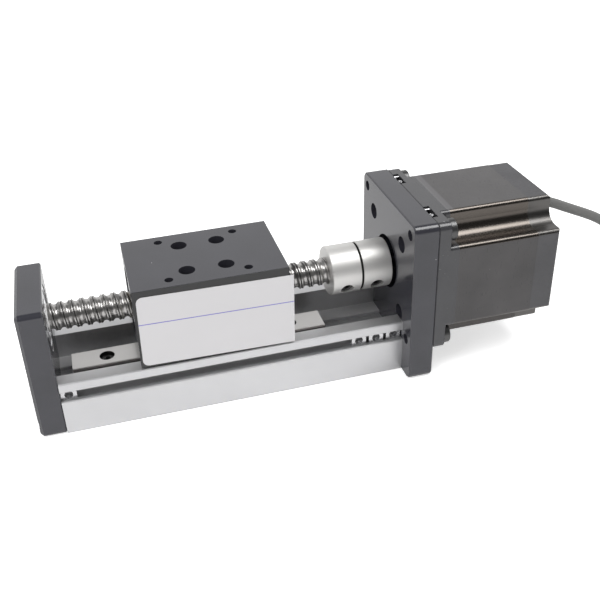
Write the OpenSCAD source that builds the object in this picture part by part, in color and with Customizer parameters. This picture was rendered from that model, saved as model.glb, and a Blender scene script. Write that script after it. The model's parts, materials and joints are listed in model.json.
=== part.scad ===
// Ball screw linear module: a short screw-driven slide with a stepper motor.
// Origin: centre of the base extrusion's underside. +X runs along the screw to the motor.

/* [Base] */
// Length of the base extrusion
base_len = 136.5; // [130:0.5:160]
// Width of the base, the end plate and the carriage
base_w = 40; // [40:0.5:46]
// Height of the channel walls above the mounting surface
base_h = 23.3; // [23:0.1:23.5]
// Width of the open channel between the walls
channel_w = 28; // [27.6:0.1:29]
// Height of the channel floor
channel_floor = 12.5; // [12:0.1:13]
// Height of the screw axis above the mounting surface
axis_z = 41; // [41:0.5:44]

/* [T-slots] */
// Height of the middle of each side slot
slot_z = 17.1; // [16.9:0.1:17.3]
// Open height of the slot mouth
slot_mouth = 4.2; // [4:0.1:4.6]
// Height of the slot behind its lips
slot_inner = 7.4; // [7.2:0.1:7.6]
// Thickness of the slot lips
slot_lip = 1.8; // [1.5:0.1:2]
// Depth of the slot behind the lips
slot_pocket = 2.6; // [2.5:0.1:2.8]

/* [End plates] */
// Thickness of the left end plate and of the motor plate
plate_t = 10; // [10:0.5:12]
// Height of the left end plate
end_plate_h = 55; // [54:0.5:60]
// Width of the motor plate
motor_plate_w = 57; // [57:0.5:60]
// Height of the motor plate
motor_plate_h = 69.5; // [69.5:0.5:72]
// Corner radius of the motor plate
motor_plate_r = 3; // [2:0.5:4]
// Bore that the coupling's end faces in the motor plate
plate_bore_d = 22.4; // [22:0.1:24]

/* [Guide] */
// Length of the guide rail
rail_len = 102.5; // [100:0.5:110]
// Gap between the left end plate and the rail's end
rail_gap = 5.5; // [4:0.5:8]
// Distance between rail screws
rail_pitch = 25; // [25:1:25]

/* [Carriage] */
// Length of the carriage block
carriage_len = 59; // [59:0.5:60]
// Height of the carriage block
carriage_h = 33.5; // [33:0.5:36]
// Position of the carriage's middle along X as modelled
carriage_x = -7.4; // [-12:0.1:-7]
// Spacing of the threaded holes on top, both ways
payload_pitch = 30; // [28:0.5:32]

/* [Ball screw] */
// Diameter over the thread crests
screw_d = 11; // [10.8:0.1:11]
// Advance in one turn
lead = 4; // [4:1:5]
// Depth of the ball groove
groove_depth = 0.9; // [0.6:0.05:1]
// Radius of the ball groove
groove_r = 1.35; // [1.25:0.05:1.5]

/* [Coupling] */
// Outside diameter of the coupling
coupling_d = 20; // [18:0.5:21]
// Length of the coupling
coupling_len = 25; // [25:0.5:25]

/* [Motor] */
// Width across the motor's front flange
motor_w = 56.4; // [56:0.1:57]
// Length of the motor from its mounting face to its rear face
motor_len = 51; // [51:0.5:56]
// Distance between the motor's screws, both ways
motor_pitch = 47.14; // [47.14:0.01:47.14]
// Diameter of the motor shaft
shaft_d = 8; // [8:1:8]

/* [Cable] */
// Diameter of the motor cable
cable_d = 4.2; // [4:0.1:4.4]

/* [Hidden] */
$fn = 64;

eps = 0.01;
edge = 0.5;                       // chamfer on machined edges
end_plate_r = 2;                  // rounding of the left plate's long edges
end_plate_edge = 1.2;             // chamfer round the left plate's outer face
slack = 0.05;                     // radial play of a screw in its hole

// places along X
base_x0 = -base_len / 2;
base_x1 = base_len / 2;
plate_x0 = base_x0 - plate_t;     // outer face of the left end plate
motor_x = base_x1 + plate_t;      // motor mounting face
motor_end = motor_x + motor_len;

// tap drill radii and clearance radii of the screws used
m25_tap = 1.05;
m3_tap = 1.25;
m4_tap = 1.65;
m5_tap = 2.1;
m3_clear = 1.7;
m4_clear = 2.2;
m5_clear = 2.7;

// end screws, three in each plate
end_screw_y = [-15, 0, 15];
end_screw_z = 6;
end_screw_len = 12;
end_screw_head = 3.9;
end_screw_depth = 0.2;            // its face below the plate's face

// mounting holes in the underside
foot_pitch_x = 100;
foot_pitch_y = 20;
foot_depth = 8;

// rail section
rail_w = 12;
rail_h = 8;
rail_seat_w = 13;
rail_z = channel_floor - 1.5;
rail_x0 = base_x0 + rail_gap;
rail_first = (rail_len - 3 * rail_pitch) / 2;
rail_head_r = 3;
rail_head_depth = 4.5;
rail_hole_r = 1.75;
rail_tap_depth = 5.5;

// guide block
block_w = 27;
block_steel = 21.6;
block_cap = 5.75;
block_seal = 0.8;
block_z0 = rail_z + 3;
block_h = 10;
block_hole_x = 7.5;
block_hole_y = 10;
rail_play = 0.3;

// carriage
carriage_z = block_z0 + block_h;
carriage_top = carriage_z + carriage_h;
carriage_bore_r = 6.2;
carriage_web = 8;                 // thickness under the sunk screw heads
carriage_edge = 0.2;              // chamfer on the carriage, sharper than on the plates
sunk_r = 3.15;
payload_depth = 10;

// label, stuck on by hand: a degree out of level, and a little past the carriage's right end
label_t = 0.3;
label_w = carriage_len + 0.2;
label_h = carriage_h - 3.6;
label_r = 2.4;
label_turn = 1;
label_x = 1.1;                    // its middle, from the carriage's middle
label_z = 15.5;                   // its middle, from the carriage's underside

// ball nut, its flange sunk in the carriage's left face
nut_r = 9;
nut_bore_r = screw_d / 2 + 0.35;
nut_x0 = -carriage_len / 2 + 0.5;
nut_flange_r = 14.2;
nut_flange_t = 4.5;
nut_len = 17.5;
nut_screw_pcd = 23.4;
nut_screw_head = 2.2;
nut_screw_depth = 0.1;
wiper_t = 2;
wiper_r = 7.5;
wiper_play = 0.3;

// end bearing, 26 x 10 x 8
end_bearing = [26, 10, 8];
end_bearing_x = base_x0 - 0.2 - end_bearing[2];
journal_end = plate_x0 + 0.3;

// coupling
coupling_x1 = base_x1 - 0.95;
coupling_x0 = coupling_x1 - coupling_len;
coupling_x = coupling_x0 + coupling_len / 2;
set_screw_x = 6.3;
set_screw_r = 2.7;
set_screw_key_r = 1.45;
set_screw_turns = [210, 300];     // angle from +Y towards +Z
coupling_groove = 1;
coupling_groove_depth = 1.2;
journal_in_coupling = 12;

// motor
pilot_d = 38.1;
pilot_t = 1.6;
mount_head_h = 2.7;
flange_t = 5;
flange_r = 3;
bell_t = 3.6;                     // depth of the bell's body behind its flange
cap_t = 9.5;
cap_w = motor_w - 0.3;
cap_edge = 0.8;
flange_x1 = motor_x + flange_t;
stator_x0 = flange_x1 + bell_t;
stator_x1 = motor_end - cap_t;
notch_c = motor_pitch / 2;
notch_r = 5.6;
ridge_r = 1.7;
shaft_out = 21;
rotor_r = 13.9;
stator_bore_r = 14.2;
tie_pitch = 33;
window_y = 16.1;                  // middle of the windows in the flange's front edge
window_w = 9.4;
window_t = 2.3;
window_depth = 3.5;
small_pattern = 31;
small_head_r = 3.3;
small_head_depth = 5;
front_bearing = [22, 8, 7];
front_bearing_x = motor_x + 2.4;
rear_bearing = [16, 5, 5];
rear_bearing_x = stator_x1 + 0.15;

// The cable's coil is flat and spirals inwards from where the cable comes down.
gland_z = 57;
gland_end = motor_end + 7;
gland_r = 4.5;
gland_neck_r = 3.15;
coil_c = [206, -29.5];
coil_r0 = 29.5;                   // centreline of the outermost turn
coil_r1 = 17.7;                   // centreline at the cable's end
tie_t = 0.5;
tie_angle = 9;
lead_r = 0.65;
lead_len = 16;
// route from inside the gland to the coil
cable_route = [
    [stator_x1 + 1, 0, gland_z], [gland_end, 0, gland_z], [gland_end + 0.8, 0, gland_z],
    [139.5, 0, 56.5], [143.5, 0, 54.9], [148, 0, 52.8], [153, 0, 50.5], [158, 0, 48.2], [163, 0, 45.7],
    [168, 0, 42.6], [172.5, 0, 38.7], [176.5, 0, 33.7], [180, 0, 27.7], [183, 0, 21.2], [186.5, 0, 14.8],
    [191, 0, 9.3], [196, 0, 5.4], [201, 0, 3.2], [206, 0, 2.6]];

// ---------- shared shapes ----------

// extrudes a Y-Z outline along +X
module along_x(x0, x1) {
    translate([x0, 0, 0]) rotate([90, 0, 90]) linear_extrude(height = x1 - x0) children();
}

module rod_x(x0, x1, r) {
    translate([x0, 0, 0]) rotate([0, 90, 0]) cylinder(h = x1 - x0, r = r);
}

// solid of revolution about the screw axis; the outline's x is the radius, its y runs along +X
module turned(x0) {
    translate([x0, 0, axis_z]) rotate([0, 90, 0]) rotate_extrude() children();
}

module at_axis() {
    translate([0, 0, axis_z]) children();
}

module chamfered_rect(a, b, c) {
    polygon([[c - a / 2, -b / 2], [a / 2 - c, -b / 2], [a / 2, c - b / 2], [a / 2, b / 2 - c],
        [a / 2 - c, b / 2], [c - a / 2, b / 2], [-a / 2, b / 2 - c], [-a / 2, c - b / 2]]);
}

module rounded_rect(a, b, r) {
    square([a - 2 * r, b], center = true);
    square([a, b - 2 * r], center = true);
    for (sx = [-1, 1], sy = [-1, 1]) translate([sx * (a / 2 - r), sy * (b / 2 - r)]) circle(r = r);
}

// block standing on z = 0 with all twelve edges chamfered
module chamfered_block(a, b, h, c) {
    intersection() {
        linear_extrude(height = h) chamfered_rect(a, b, c);
        along_x(-a / 2, a / 2) translate([0, h / 2]) chamfered_rect(b, h, c);
        translate([0, b / 2, h / 2]) rotate([90, 0, 0]) linear_extrude(height = b) chamfered_rect(a, h, c);
    }
}

// plate standing on z = 0 from x = 0: its corners are round, its faces chamfered by c0 and c1
module plate_section(t, b, c0, c1) {
    polygon([[0, c0 - b / 2], [c0, -b / 2], [t - c1, -b / 2], [t, c1 - b / 2],
        [t, b / 2 - c1], [t - c1, b / 2], [c0, b / 2], [0, b / 2 - c0]]);
}

module rounded_plate(t, w, h, r, c0, c1) {
    translate([0, 0, h / 2]) {
        translate([0, w / 2 - r, 0]) rotate([90, 0, 0])
            linear_extrude(height = w - 2 * r) plate_section(t, h, c0, c1);
        linear_extrude(height = h - 2 * r, center = true) plate_section(t, w, c0, c1);
        for (sy = [-1, 1], sz = [-1, 1])
            translate([0, sy * (w / 2 - r), sz * (h / 2 - r)]) rotate([0, 90, 0])
                rotate_extrude() polygon([[0, 0], [r - c0, 0], [r, c0], [r, t - c1], [r - c1, t], [0, t]]);
    }
}

// places children at the four corners of a square in Y and Z about the screw axis
module square_pattern(pitch) {
    for (sy = [-1, 1], sz = [-1, 1]) translate([0, sy * pitch / 2, axis_z + sz * pitch / 2]) children();
}

// socket head screw standing on z = 0 with its shank down
module socket_screw(shank_r, len, head_r, head_h, key) {
    difference() {
        union() {
            cylinder(h = head_h - 0.3, r = head_r);
            translate([0, 0, head_h - 0.3]) cylinder(h = 0.3, r1 = head_r, r2 = head_r - 0.3, $fn = 64);
            translate([0, 0, -len]) cylinder(h = len + eps, r = shank_r);
        }
        translate([0, 0, head_h - key * 0.55]) cylinder(h = key, r = key / sqrt(3), $fn = 6);
    }
}

// countersunk screw with its flat head's face at z = 0 and its shank down
module sunk_screw(shank_r, len, head_r, key) {
    difference() {
        union() {
            translate([0, 0, shank_r - head_r]) cylinder(h = head_r - shank_r, r1 = shank_r, r2 = head_r);
            translate([0, 0, -len]) cylinder(h = len - head_r + shank_r + eps, r = shank_r);
        }
        translate([0, 0, -key * 0.45]) cylinder(h = key, r = key / sqrt(3), $fn = 6);
    }
}

// hole for a countersunk screw whose head lies the given depth below z = 0
module sunk_hole(hole_r, len, screw_head, depth) {
    head_r = screw_head + depth + slack;
    translate([0, 0, hole_r - head_r]) cylinder(h = head_r - hole_r + eps, r1 = hole_r, r2 = head_r + eps);
    translate([0, 0, -len]) cylinder(h = len, r = hole_r);
}

// ball bearing size is [outside, bore, width]
function race_t(b) = (b[0] - b[1]) / 2 * 0.27;
function ball_r(b) = (b[0] - b[1]) / 2 * 0.29;
function pitch_r(b) = (b[0] + b[1]) / 4;

module bearing_ring(b, x0, r0, r1) {
    turned(x0) difference() {
        translate([r0, 0]) square([r1 - r0, b[2]]);
        translate([pitch_r(b), b[2] / 2]) circle(r = ball_r(b) + slack);
    }
}

module bearing_outer(b, x0) {
    bearing_ring(b, x0, b[0] / 2 - race_t(b), b[0] / 2);
}

module bearing_inner(b, x0) {
    bearing_ring(b, x0, b[1] / 2, b[1] / 2 + race_t(b));
}

module bearing_balls(b, x0, n) {
    at_axis() for (i = [0:n - 1]) rotate([i * 360 / n, 0, 0])
        translate([x0 + b[2] / 2, pitch_r(b), 0]) sphere(r = ball_r(b));
}

// ---------- base ----------

module slot_outline() {
    y0 = base_w / 2;
    translate([0, slot_z]) polygon([[y0 + eps, -slot_mouth / 2 - 0.4], [y0 - 0.4, -slot_mouth / 2],
        [y0 - slot_lip, -slot_mouth / 2], [y0 - slot_lip, -slot_inner / 2],
        [y0 - slot_lip - slot_pocket, -slot_inner / 2], [y0 - slot_lip - slot_pocket, slot_inner / 2],
        [y0 - slot_lip, slot_inner / 2], [y0 - slot_lip, slot_mouth / 2],
        [y0 - 0.4, slot_mouth / 2], [y0 + eps, slot_mouth / 2 + 0.4]]);
}

module base_outline() {
    difference() {
        translate([0, base_h / 2]) chamfered_rect(base_w, base_h, 0.4);
        translate([-channel_w / 2, channel_floor]) square([channel_w, base_h]);
        translate([-rail_seat_w / 2, rail_z]) square([rail_seat_w, base_h]);
        slot_outline();
        mirror([1, 0]) slot_outline();
    }
}

module base_extrusion() {
    color("gainsboro") difference() {
        along_x(base_x0, base_x1) base_outline();
        for (x = [base_x0, base_x1], y = end_screw_y) translate([x, y, end_screw_z]) rotate([0, 90, 0])
            cylinder(h = 2 * end_screw_len, r = m4_tap, center = true);
        for (i = [0:3]) translate([rail_x0 + rail_first + i * rail_pitch, 0, rail_z - rail_tap_depth])
            cylinder(h = rail_tap_depth + 0.5, r = m3_tap);
        for (sx = [-1, 1], sy = [-1, 1]) translate([sx * foot_pitch_x / 2, sy * foot_pitch_y / 2, -eps])
            cylinder(h = foot_depth, r = m5_tap);
    }
}

module slot_nuts() {
    y0 = base_w / 2 - slot_lip;
    color("silver") for (x = [base_x0 + 3.1, base_x1 - 18, base_x1 - 10.7, base_x1 - 3.4])
        translate([x, -y0, slot_z - slot_inner / 2 + 3.5]) rotate([-90, 0, 0]) difference() {
            translate([-3, -3.5, 0]) cube([6, 7, 2.4]);
            translate([0, 0, -1]) cylinder(h = 5, r = m4_tap);
        }
}

// ---------- left end ----------

module left_end_plate() {
    color("dimgray") difference() {
        translate([plate_x0, 0, 0])
            rounded_plate(plate_t, base_w, end_plate_h, end_plate_r, end_plate_edge, edge);
        at_axis() {
            rod_x(end_bearing_x, base_x0 + 1, end_bearing[0] / 2);
            rod_x(plate_x0 - 1, base_x0, 9);
        }
        for (y = end_screw_y) translate([plate_x0, y, end_screw_z]) rotate([0, -90, 0])
            sunk_hole(m4_clear, plate_t + 1, end_screw_head, end_screw_depth);
    }
}

module end_plate_screws() {
    color("black") for (y = end_screw_y)
        translate([plate_x0 + end_screw_depth, y, end_screw_z]) rotate([0, -90, 0])
            sunk_screw(m4_tap - slack, plate_t + 8, end_screw_head, 2.5);
}

module end_bearing_outer() {
    color("silver") bearing_outer(end_bearing, end_bearing_x);
}

module end_bearing_inner() {
    color("silver") bearing_inner(end_bearing, end_bearing_x);
}

module end_bearing_balls() {
    color("lightgray") bearing_balls(end_bearing, end_bearing_x, 9);
}

module end_bearing_shields() {
    r0 = end_bearing[1] / 2 + race_t(end_bearing) + 0.2;
    r1 = end_bearing[0] / 2 - race_t(end_bearing);
    color("gray") for (x = [0.3, end_bearing[2] - 0.7]) turned(end_bearing_x + x)
        translate([r0, 0]) square([r1 - r0, 0.4]);
}

// open ring on the journal, outside the bearing's inner ring
module screw_circlip() {
    color("dimgray") at_axis() difference() {
        rod_x(end_bearing_x - 1, end_bearing_x, 7);
        rod_x(end_bearing_x - 2, end_bearing_x + 1, 4.7);
        rotate([45, 0, 0]) translate([end_bearing_x - 2, 0, -1.5]) cube([3, 10, 3]);
    }
}

// ---------- motor plate ----------

module motor_plate() {
    color("dimgray") difference() {
        translate([base_x1, 0, 0])
            rounded_plate(plate_t, motor_plate_w, motor_plate_h, motor_plate_r, edge, edge);
        at_axis() {
            rod_x(base_x1 - 1, motor_x + 1, plate_bore_d / 2);
            rod_x(motor_x - pilot_t - 0.2, motor_x + 1, pilot_d / 2 + 0.1);
        }
        square_pattern(motor_pitch) rod_x(base_x1 - 1, motor_x + 1, m5_tap);
        square_pattern(small_pattern) {
            rod_x(base_x1 - 1, motor_x + 1, m3_clear);
            rod_x(base_x1 - 1, base_x1 + small_head_depth, small_head_r);
        }
        for (y = end_screw_y) translate([motor_x, y, end_screw_z]) rotate([0, 90, 0])
            sunk_hole(m4_clear, plate_t + 1, end_screw_head, end_screw_depth);
    }
}

module motor_plate_screws() {
    color("black") for (y = end_screw_y)
        translate([motor_x - end_screw_depth, y, end_screw_z]) rotate([0, 90, 0])
            sunk_screw(m4_tap - slack, plate_t + 8, end_screw_head, 2.5);
}

// ---------- guide ----------

// half of the rail section as [y, z] from the seat up, with the ball track in its side
rail_half = [[rail_w / 2 - 0.3, 0], [rail_w / 2, 0.3], [rail_w / 2, 3.6], [rail_w / 2 - 0.7, 4.3],
    [rail_w / 2 - 0.7, 5.6], [rail_w / 2, 6.3], [rail_w / 2, rail_h - 0.7], [rail_w / 2 - 0.7, rail_h]];

module rail_outline() {
    left_half = [for (i = [len(rail_half) - 1:-1:0]) [-rail_half[i][0], rail_half[i][1]]];
    polygon(concat(rail_half, left_half));
}

module guide_rail() {
    color("lightsteelblue") difference() {
        translate([0, 0, rail_z]) along_x(rail_x0, rail_x0 + rail_len) rail_outline();
        for (i = [0:3]) translate([rail_x0 + rail_first + i * rail_pitch, 0, rail_z]) {
            translate([0, 0, -1]) cylinder(h = rail_h + 2, r = rail_hole_r);
            translate([0, 0, rail_h - rail_head_depth]) cylinder(h = rail_head_depth + 1, r = rail_head_r);
        }
    }
}

module rail_screws() {
    color("dimgray") for (i = [0:3])
        translate([rail_x0 + rail_first + i * rail_pitch, 0, rail_z + rail_h - rail_head_depth])
            socket_screw(m3_tap - slack, 8, 2.75, 3, 2.5);
}

// block section: a saddle open downwards, with play all round the rail
module block_outline(w, z0, z1, play) {
    inner = rail_w / 2 + play;
    top = rail_z + rail_h + play;
    polygon([[-w / 2 + 1, z0], [-inner, z0], [-inner, top], [inner, top], [inner, z0], [w / 2 - 1, z0],
        [w / 2, z0 + 1], [w / 2, z1 - 0.5], [w / 2 - 0.5, z1],
        [-w / 2 + 0.5, z1], [-w / 2, z1 - 0.5], [-w / 2, z0 + 1]]);
}

module guide_block() {
    color("silver") translate([carriage_x, 0, 0]) difference() {
        along_x(-block_steel / 2, block_steel / 2) block_outline(block_w, block_z0, carriage_z, rail_play);
        for (sx = [-1, 1], sy = [-1, 1]) translate([sx * block_hole_x, sy * block_hole_y, carriage_z - 3.5])
            cylinder(h = 4, r = m3_tap);
    }
}

module guide_block_caps() {
    color("darkgreen") translate([carriage_x, 0, 0])
        for (x0 = [-block_steel / 2 - block_cap, block_steel / 2]) along_x(x0, x0 + block_cap)
            block_outline(block_w - 0.6, block_z0 + 0.2, carriage_z - 0.6, rail_play);
}

module guide_block_seals() {
    x = block_steel / 2 + block_cap;
    color("black") translate([carriage_x, 0, 0]) for (x0 = [-x - block_seal, x])
        along_x(x0, x0 + block_seal) block_outline(block_w - 2, block_z0 + 0.6, carriage_z - 1.2, 0.15);
}

module guide_block_screws() {
    color("dimgray") for (sx = [-1, 1], sy = [-1, 1])
        translate([carriage_x + sx * block_hole_x, sy * block_hole_y, carriage_z + carriage_web])
            socket_screw(m3_tap - slack, carriage_web + 3, 2.75, 3, 2.5);
}

// ---------- carriage ----------

module carriage_block() {
    x0 = -carriage_len / 2;
    color("dimgray") translate([carriage_x, 0, 0]) difference() {
        translate([0, 0, carriage_z]) chamfered_block(carriage_len, base_w, carriage_h, carriage_edge);
        at_axis() {
            rod_x(x0 - 1, -x0 + 1, carriage_bore_r);
            rod_x(x0 - 1, nut_x0 + nut_len + 0.1, nut_r + 0.1);
            rod_x(x0 - 1, nut_x0 + nut_flange_t, nut_flange_r + 0.2);
            for (a = [45:90:315]) rotate([a, 0, 0]) translate([0, nut_screw_pcd / 2, 0])
                rod_x(x0, nut_x0 + 13, m25_tap);
        }
        for (sx = [-1, 1], sy = [-1, 1]) {
            translate([sx * block_hole_x, sy * block_hole_y, carriage_z - 1]) {
                cylinder(h = carriage_h, r = m3_clear);
                translate([0, 0, carriage_web + 1]) cylinder(h = carriage_h, r = sunk_r);
            }
            translate([sx * payload_pitch / 2, sy * payload_pitch / 2, carriage_top - payload_depth])
                cylinder(h = payload_depth + 1, r = m4_tap);
        }
    }
}

// bare plate on the front face, round at its left corners and square at its right end
module label_plate() {
    color("white") translate([carriage_x + label_x, -base_w / 2, carriage_z + label_z])
        rotate([90, label_turn, 0]) linear_extrude(height = label_t)
            translate([-label_w / 2, -label_h / 2]) {
                translate([label_r, 0]) square([label_w - label_r, label_h]);
                translate([0, label_r]) square([label_w, label_h - 2 * label_r]);
                for (y = [label_r, label_h - label_r]) translate([label_r, y]) circle(r = label_r);
            }
}

module ball_nut() {
    color("silver") translate([carriage_x, 0, 0]) difference() {
        at_axis() {
            rod_x(nut_x0, nut_x0 + nut_flange_t, nut_flange_r);
            rod_x(nut_x0, nut_x0 + nut_len, nut_r);
        }
        at_axis() {
            rod_x(nut_x0 - 1, nut_x0 + nut_len + 1, nut_bore_r);
            for (x = [nut_x0 - eps, nut_x0 + nut_len - wiper_t]) rod_x(x, x + wiper_t + eps, wiper_r);
            for (a = [45:90:315]) rotate([a, 0, 0])
                translate([nut_x0, nut_screw_pcd / 2, 0]) rotate([0, -90, 0])
                    sunk_hole(m25_tap + 0.3, nut_flange_t + 1, nut_screw_head, nut_screw_depth);
        }
    }
}

module nut_wipers() {
    color("ivory") translate([carriage_x, 0, 0])
        for (x = [nut_x0, nut_x0 + nut_len - wiper_t]) turned(x)
            translate([screw_d / 2 + wiper_play, 0]) square([wiper_r - screw_d / 2 - wiper_play, wiper_t]);
}

module nut_screws() {
    color("dimgray") translate([carriage_x, 0, 0]) at_axis() for (a = [45:90:315]) rotate([a, 0, 0])
        translate([nut_x0 + nut_screw_depth, nut_screw_pcd / 2, 0]) rotate([0, -90, 0])
            sunk_screw(m25_tap - slack, 10, nut_screw_head, 1.5);
}

// ---------- ball screw ----------

// The thread is a grid of points: rays round the axis, each with the groove's outline once a turn.
thread_rays = 18;
thread_x0 = end_bearing_x + end_bearing[2];
thread_x1 = coupling_x0 - 0.2;
groove_start = 2.8;               // how far the groove's first full turn is from the thread's start
groove_half = sqrt(pow(groove_r, 2) - pow(groove_r - groove_depth, 2));
groove_steps = [-groove_half, -0.62 * groove_half, 0, 0.62 * groove_half, groove_half];
thread_turns = ceil((thread_x1 - thread_x0) / lead) + 1;
thread_rows = len(groove_steps) * (thread_turns + 1);

function groove_drop(u) = sqrt(max(0, pow(groove_r, 2) - u * u)) - (groove_r - groove_depth);
function row_step(s) = groove_steps[s % len(groove_steps)];
function row_x(k, s) = thread_x0 + groove_start
    + lead * (floor(s / len(groove_steps)) - 1 + k / thread_rays) + row_step(s);
function row_r(s) = screw_d / 2 - max(0, groove_drop(row_step(s)));
function ray(k, x, r) = [x, r * cos(k * 360 / thread_rays), r * sin(k * 360 / thread_rays)];

// numbers a grid point; points past either end share that end's ring
function id(k, s) = s < 0 || row_x(k, s) < thread_x0 + 0.2 ? k
    : s >= thread_rows || row_x(k, s) > thread_x1 - 0.2 ? thread_rays + k
    : 2 * thread_rays + k * thread_rows + s;
function next_id(k, s) = k < thread_rays - 1 ? id(k + 1, s) : id(0, s + len(groove_steps));
function kept(f) = [for (t = f) if (t[0] != t[1] && t[1] != t[2] && t[2] != t[0]) t];

thread_points = concat(
    [for (k = [0:thread_rays - 1]) ray(k, thread_x0, screw_d / 2)],
    [for (k = [0:thread_rays - 1]) ray(k, thread_x1, screw_d / 2)],
    [for (k = [0:thread_rays - 1], s = [0:thread_rows - 1]) ray(k, row_x(k, s), row_r(s))]);
thread_faces = concat(
    [[for (k = [0:thread_rays - 1]) k]],
    [[for (k = [thread_rays - 1:-1:0]) thread_rays + k]],
    kept([for (k = [0:thread_rays - 1], s = [-len(groove_steps):thread_rows])
        [id(k, s), next_id(k, s + 1), next_id(k, s)]]),
    kept([for (k = [0:thread_rays - 1], s = [-len(groove_steps):thread_rows])
        [id(k, s), id(k, s + 1), next_id(k, s + 1)]]));

module ball_screw() {
    color("silver") at_axis() {
        polyhedron(points = thread_points, faces = thread_faces, convexity = 10);
        difference() {
            rod_x(journal_end, thread_x0 + 1, end_bearing[1] / 2);
            difference() {
                rod_x(end_bearing_x - 1, end_bearing_x, 6);
                rod_x(end_bearing_x - 2, end_bearing_x + 1, 4.7);
            }
        }
        rod_x(thread_x1 - 1, coupling_x0 + journal_in_coupling, shaft_d / 2);
    }
}

// ---------- coupling ----------

// four holes across the coupling, from radius r0 to radius r1
module set_screw_holes(r, r0, r1, sides = 64) {
    for (s = [-1, 1], a = set_screw_turns) at_axis() rotate([a, 0, 0])
        translate([coupling_x + s * set_screw_x, r0, 0]) rotate([-90, 0, 0])
            cylinder(h = r1 - r0, r = r, $fn = sides);
}

module coupling() {
    r = coupling_d / 2;
    l = coupling_len;
    c = 0.3;
    g = coupling_groove / 2;
    d = r - coupling_groove_depth;
    color("gainsboro") difference() {
        turned(coupling_x0) polygon([[shaft_d / 2, 0], [r - c, 0], [r, c], [r, l / 2 - g], [d, l / 2 - g],
            [d, l / 2 + g], [r, l / 2 + g], [r, l - c], [r - c, l], [shaft_d / 2, l]]);
        set_screw_holes(set_screw_r, shaft_d / 2 - 1, r + 1);
    }
}

module coupling_set_screws() {
    color("dimgray") difference() {
        set_screw_holes(set_screw_r - slack, shaft_d / 2, coupling_d / 2 - 1);
        set_screw_holes(set_screw_key_r, coupling_d / 2 - 3, coupling_d / 2 + 1, 6);
    }
}

// ---------- motor ----------

// outline of the motor body: two crossed bars with round ridges, and a hollow at each screw
module body_outline(w) {
    bar = 2 * (notch_c - notch_r);
    rounded_rect(w, bar, ridge_r);
    rounded_rect(bar, w, ridge_r);
    difference() {
        square(2 * notch_c, center = true);
        for (sy = [-1, 1], sz = [-1, 1]) translate([sy * notch_c, sz * notch_c]) circle(r = notch_r);
    }
}

module motor_front_bell() {
    color("dimgray") difference() {
        union() {
            translate([motor_x, 0, axis_z - motor_w / 2])
                rounded_plate(flange_t, motor_w, motor_w, flange_r, 0.25, 0.25);
            along_x(flange_x1 - 0.5, stator_x0) translate([0, axis_z]) body_outline(motor_w);
            at_axis() rod_x(motor_x - pilot_t, motor_x + 1, pilot_d / 2);
            at_axis() rod_x(motor_x + 1, front_bearing_x + front_bearing[2] + 0.6, 13.5);
        }
        at_axis() {
            rod_x(motor_x - 5, motor_end, shaft_d / 2 + 0.5);
            rod_x(front_bearing_x, motor_end, front_bearing[0] / 2);
        }
        square_pattern(motor_pitch) rod_x(motor_x - 1, flange_x1 + 1, m5_clear);
        square_pattern(tie_pitch) rod_x(stator_x0 - 4, stator_x0 + 1, m3_tap);
        for (s = [-1, 1], z = [axis_z - motor_w / 2 - 1, axis_z + motor_w / 2 - window_depth])
            translate([motor_x - 1, s * window_y - window_w / 2, z])
                cube([window_t + 1, window_w, window_depth + 1]);
    }
}

module motor_stator() {
    color("dimgray") difference() {
        along_x(stator_x0, stator_x1) translate([0, axis_z]) body_outline(motor_w);
        at_axis() {
            rod_x(stator_x0 - 1, stator_x1 + 1, stator_bore_r);
            for (x = [stator_x0 - 1, stator_x1 - 5.5]) rod_x(x, x + 6.5, 20);
        }
        square_pattern(tie_pitch) rod_x(stator_x0 - 1, stator_x1 + 1, m3_clear);
    }
}

module motor_rear_cap() {
    color("black") difference() {
        intersection() {
            along_x(stator_x1, motor_end) translate([0, axis_z]) body_outline(cap_w);
            translate([motor_end - 2 * cap_t, 0, axis_z]) rotate([0, 90, 0])
                chamfered_block(cap_w, cap_w, 2 * cap_t, cap_edge);
        }
        at_axis() rod_x(stator_x1 - 1, rear_bearing_x + rear_bearing[2], rear_bearing[0] / 2);
        square_pattern(tie_pitch) {
            rod_x(stator_x1 - 1, motor_end + 1, m3_clear);
            rod_x(motor_end - 3.2, motor_end + 1, 3);
        }
        translate([0, 0, gland_z]) rod_x(stator_x1 - 1, motor_end + 1, gland_neck_r + slack);
    }
}

module motor_mount_screws() {
    color("dimgray") square_pattern(motor_pitch) translate([flange_x1, 0, 0]) rotate([0, 90, 0])
        socket_screw(m5_tap - slack, flange_t + 7, 4.25, mount_head_h, 4);
}

module motor_tie_screws() {
    color("dimgray") square_pattern(tie_pitch) translate([motor_end - 3.2, 0, 0]) rotate([0, 90, 0])
        socket_screw(m3_tap - slack, motor_end - 3.2 - stator_x0 + 3, 2.75, 3, 2.5);
}

module motor_shaft() {
    color("silver") at_axis() {
        rod_x(motor_x - shaft_out, rear_bearing_x - 0.4, shaft_d / 2);
        rod_x(rear_bearing_x - 1, rear_bearing_x + rear_bearing[2] - 0.2, rear_bearing[1] / 2);
    }
}

module motor_rotor() {
    color("gray") at_axis() difference() {
        rod_x(front_bearing_x + front_bearing[2] + 2, rear_bearing_x - 3, rotor_r);
        rod_x(motor_x, motor_end, shaft_d / 2);
        rod_x((stator_x0 + stator_x1) / 2 - 0.5, (stator_x0 + stator_x1) / 2 + 2.5, shaft_d / 2 + 0.01);
    }
}

module front_bearing_outer() {
    color("silver") bearing_outer(front_bearing, front_bearing_x);
}

module front_bearing_inner() {
    color("silver") bearing_inner(front_bearing, front_bearing_x);
}

module front_bearing_balls() {
    color("lightgray") bearing_balls(front_bearing, front_bearing_x, 8);
}

module rear_bearing_outer() {
    color("silver") bearing_outer(rear_bearing, rear_bearing_x);
}

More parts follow.
